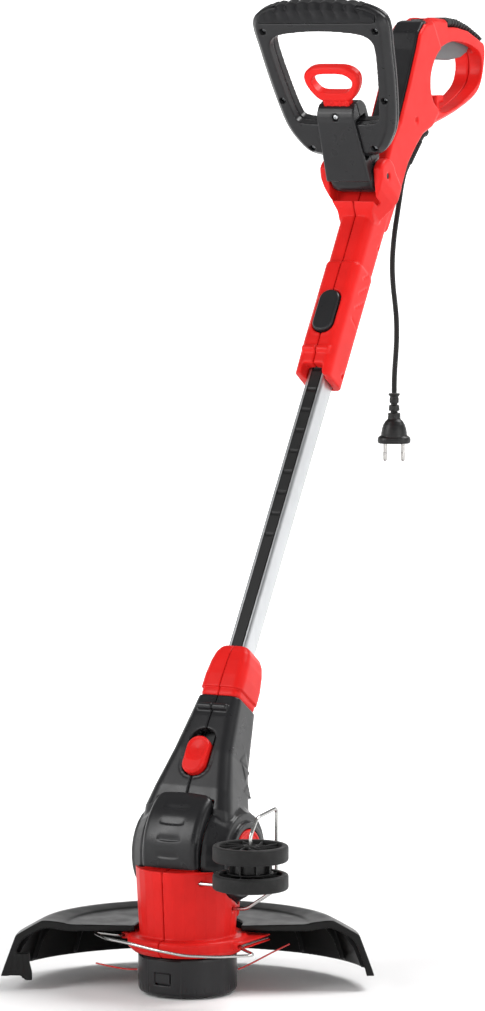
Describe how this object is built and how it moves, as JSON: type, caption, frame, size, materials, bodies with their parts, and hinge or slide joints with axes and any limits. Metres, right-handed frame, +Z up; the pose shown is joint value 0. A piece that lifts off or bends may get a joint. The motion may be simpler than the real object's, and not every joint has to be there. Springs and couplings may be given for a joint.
{
  "type": "string trimmer",
  "caption": "Corded electric string trimmer with a telescopic tube, tilting motor head, line spool under a rear guard, folding wire guard, edging wheels and an adjustable front handle.",
  "frame": {"origin": "centre of the bottom face of the line spool, on the floor", "axes": "+Z up, -Y towards the front of the head and the front handle, +Y towards the rear grip, +X to the user's right as seen from the front, on the side with the edging wheels"},
  "size_m": [0.3449, 0.7355, 0.9904],
  "materials": {
    "red_gloss": "satin-gloss red ABS",
    "black_satin": "satin charcoal plastic",
    "soft_rubber": "soft moulded rubber",
    "cord_rubber": "smooth rubber cord sheath",
    "grey_plastic": "satin grey plastic",
    "light_plastic": "natural plastic",
    "nylon_line": "red nylon line",
    "tube_aluminium": "silver anodised",
    "strip_black": "black plastic strip",
    "bright_wire": "bright zinc-plated wire",
    "steel": "machined or stamped steel",
    "plug_pin": "nickel-plated pins"
  },
  "bodies": {
    "handle": {"handle_shell_left": "red_gloss", "handle_shell_right": "red_gloss", "spine_cover": "black_satin", "rear_grip_pad": "soft_rubber", "switch_block": "light_plastic", "trigger_pin": "steel", "front_hinge_pin": "steel", "cord_boot": "soft_rubber", "cord": "cord_rubber", "plug_body": "black_satin", "plug_pin_left": "plug_pin", "plug_pin_right": "plug_pin"},
    "trigger_lever": {"trigger": "grey_plastic"},
    "lock_off": {"lock_off_button": "black_satin"},
    "length_lock": {"length_button": "black_satin"},
    "front_handle": {"front_handle_face": "black_satin", "front_handle_back": "black_satin", "front_grip_pad": "soft_rubber", "bracket_front": "black_satin", "bracket_back": "black_satin", "bracket_screw": "steel", "front_handle_screw_1": "steel", "front_handle_screw_2": "steel", "front_handle_screw_3": "steel", "front_handle_screw_4": "steel", "front_handle_screw_5": "steel", "front_handle_screw_6": "steel"},
    "ring": {"release_ring": "red_gloss"},
    "shaft": {"tube": "tube_aluminium", "ratchet_strip": "strip_black", "inner_cable": "strip_black", "collar_left": "red_gloss", "collar_right": "red_gloss", "swivel_bush": "grey_plastic"},
    "neck": {"neck_shell_left": "black_satin", "neck_shell_right": "black_satin", "hinge_axle": "steel", "hinge_cap_left": "red_gloss", "hinge_cap_right": "red_gloss"},
    "tilt_lock": {"tilt_button": "red_gloss"},
    "head": {"motor_housing_left": "red_gloss", "motor_housing_right": "red_gloss", "head_cover": "black_satin", "debris_guard": "black_satin", "line_cutter": "steel", "motor_can": "steel", "wheel_bracket": "bright_wire"},
    "wire_guard": {"plant_guard": "bright_wire"},
    "wheels": {"edging_wheel_lower": "soft_rubber", "edging_wheel_upper": "soft_rubber", "wheel_spacer": "black_satin"},
    "rotor": {"motor_shaft": "steel", "cooling_fan": "black_satin", "spool_carrier": "black_satin", "spool_cup": "black_satin", "latch_ring": "black_satin", "line_spool": "light_plastic", "line_coil": "nylon_line", "line_end_left": "nylon_line", "line_end_right": "nylon_line"}
  },
  "joints": [
    {"name": "trigger_press", "type": "hinge", "parent": "handle", "child": "trigger_lever", "pos_m": [0, 0.616, 0.9445], "axis": [-1, 0, 0], "range_deg": [0, 4], "stiffness_Nm_per_rad": 2, "springref_deg": -5.73},
    {"name": "lock_off_press", "type": "slide", "parent": "handle", "child": "lock_off", "axis": [0, 0, -1], "range_m": [0, 0.0025], "stiffness_N_per_m": 800, "springref_m": -0.003},
    {"name": "length_button_press", "type": "slide", "parent": "handle", "child": "length_lock", "axis": [0, 0.8387, -0.5446], "range_m": [0, 0.0025], "stiffness_N_per_m": 1500, "springref_m": -0.003},
    {"name": "front_handle_tilt", "type": "hinge", "parent": "handle", "child": "front_handle", "pos_m": [0, 0.368, 0.805], "axis": [1, 0, 0], "range_deg": [-25, 35]},
    {"name": "release_ring_pull", "type": "slide", "parent": "front_handle", "child": "ring", "axis": [0, -0.4226, 0.9063], "range_m": [0, 0.008], "stiffness_N_per_m": 300, "springref_m": -0.02},
    {"name": "tube_telescope", "type": "slide", "parent": "handle", "child": "shaft", "axis": [0, 0.5446, 0.8387], "range_m": [0, 0.165]},
    {"name": "head_turn", "type": "hinge", "parent": "shaft", "child": "neck", "pos_m": [0, 0.09111, 0.29582], "axis": [0, 0.5446, 0.8387], "range_deg": [0, 180]},
    {"name": "tilt_button_slide", "type": "slide", "parent": "neck", "child": "tilt_lock", "axis": [0, 0.5446, 0.8387], "range_m": [0, 0.009], "stiffness_N_per_m": 400, "springref_m": -0.015},
    {"name": "head_tilt", "type": "hinge", "parent": "neck", "child": "head", "pos_m": [0, 0.022, 0.138], "axis": [1, 0, 0], "range_deg": [0, 45]},
    {"name": "plant_guard_slide", "type": "slide", "parent": "head", "child": "wire_guard", "axis": [0, -1, 0], "range_m": [0, 0.055]},
    {"name": "edging_wheel_spin", "type": "hinge", "parent": "head", "child": "wheels", "pos_m": [0.0985, -0.05, 0.14], "axis": [0, 0, 1], "continuous": true},
    {"name": "rotor_spin", "type": "hinge", "parent": "head", "child": "rotor", "pos_m": [0, 0, 0.05], "axis": [0, 0, 1], "continuous": true}
  ]
}
